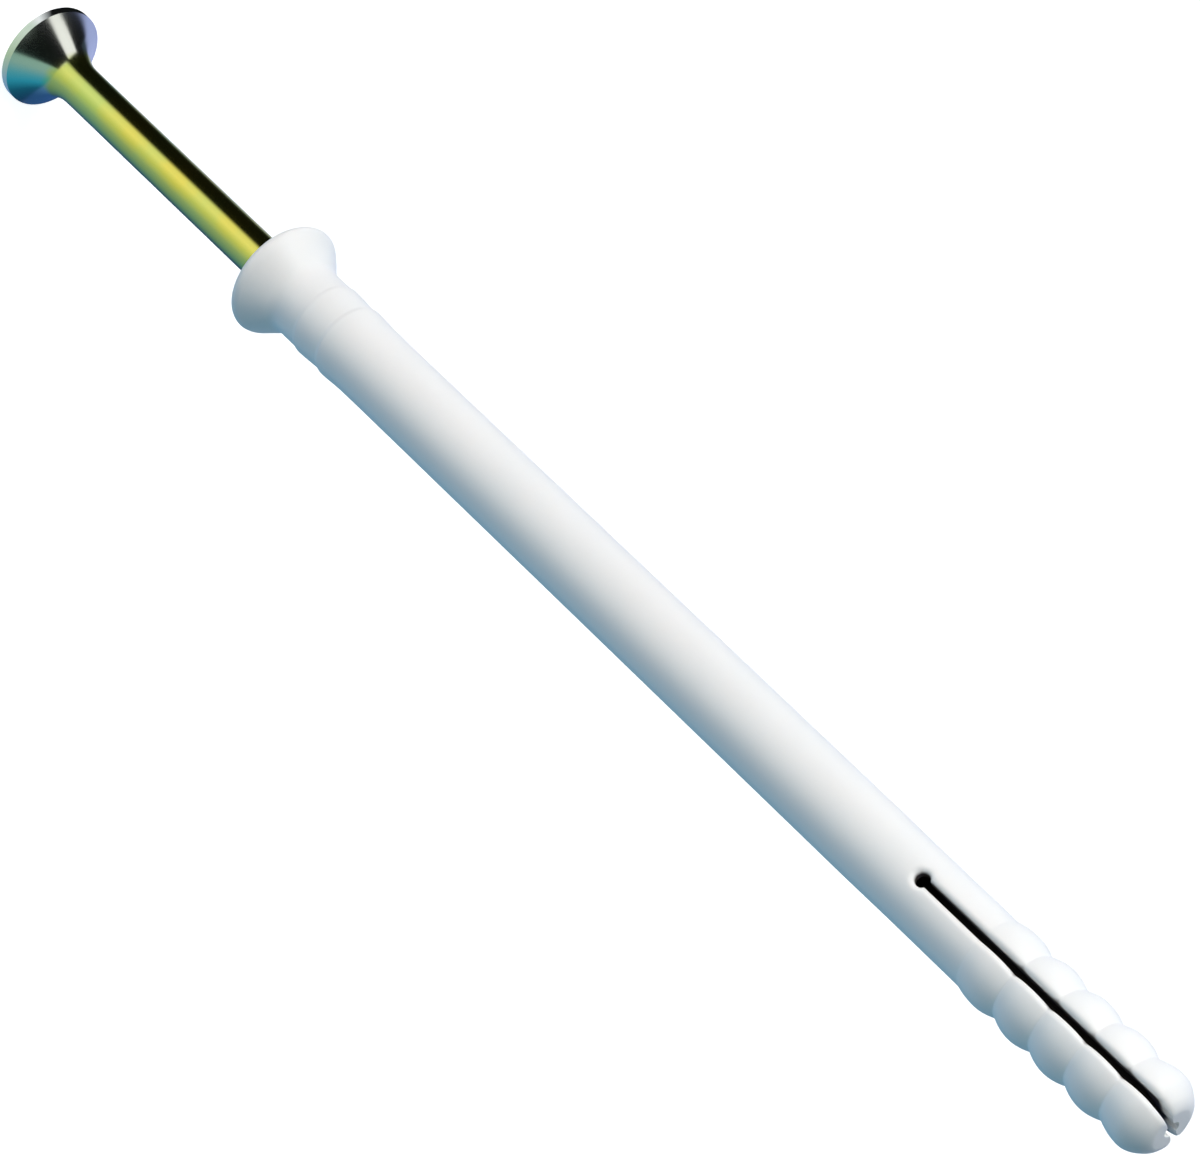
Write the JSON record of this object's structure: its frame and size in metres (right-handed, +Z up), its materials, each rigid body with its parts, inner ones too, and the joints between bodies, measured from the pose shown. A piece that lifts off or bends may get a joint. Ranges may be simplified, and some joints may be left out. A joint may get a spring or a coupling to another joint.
{
  "type": "frame fixing",
  "caption": "Hammer-in frame fixing: collared nylon sleeve with a slit, bulged expansion zone, and a countersunk drive screw standing part of the way out of it.",
  "frame": {"origin": "centre of the flat top of the screw's head, on which the fixing stands", "axes": "+Z is up and runs along the fixing from the screw's head to the sleeve's tip; the slit faces -Y and +Y"},
  "size_m": [0.0116, 0.0116, 0.1577],
  "materials": {
    "white_nylon": "moulded white nylon, slightly translucent, satin",
    "yellow_zinc_steel": "zinc plated and yellow passivated steel, smooth, with a green and blue bloom"
  },
  "bodies": {
    "screw": {"drive_screw": "yellow_zinc_steel"},
    "sleeve": {"expansion_sleeve": "white_nylon"}
  },
  "joints": [
    {"name": "screw_drive", "type": "slide", "parent": "screw", "child": "sleeve", "axis": [0, 0, -1], "range_m": [0, 0.0364]}
  ]
}
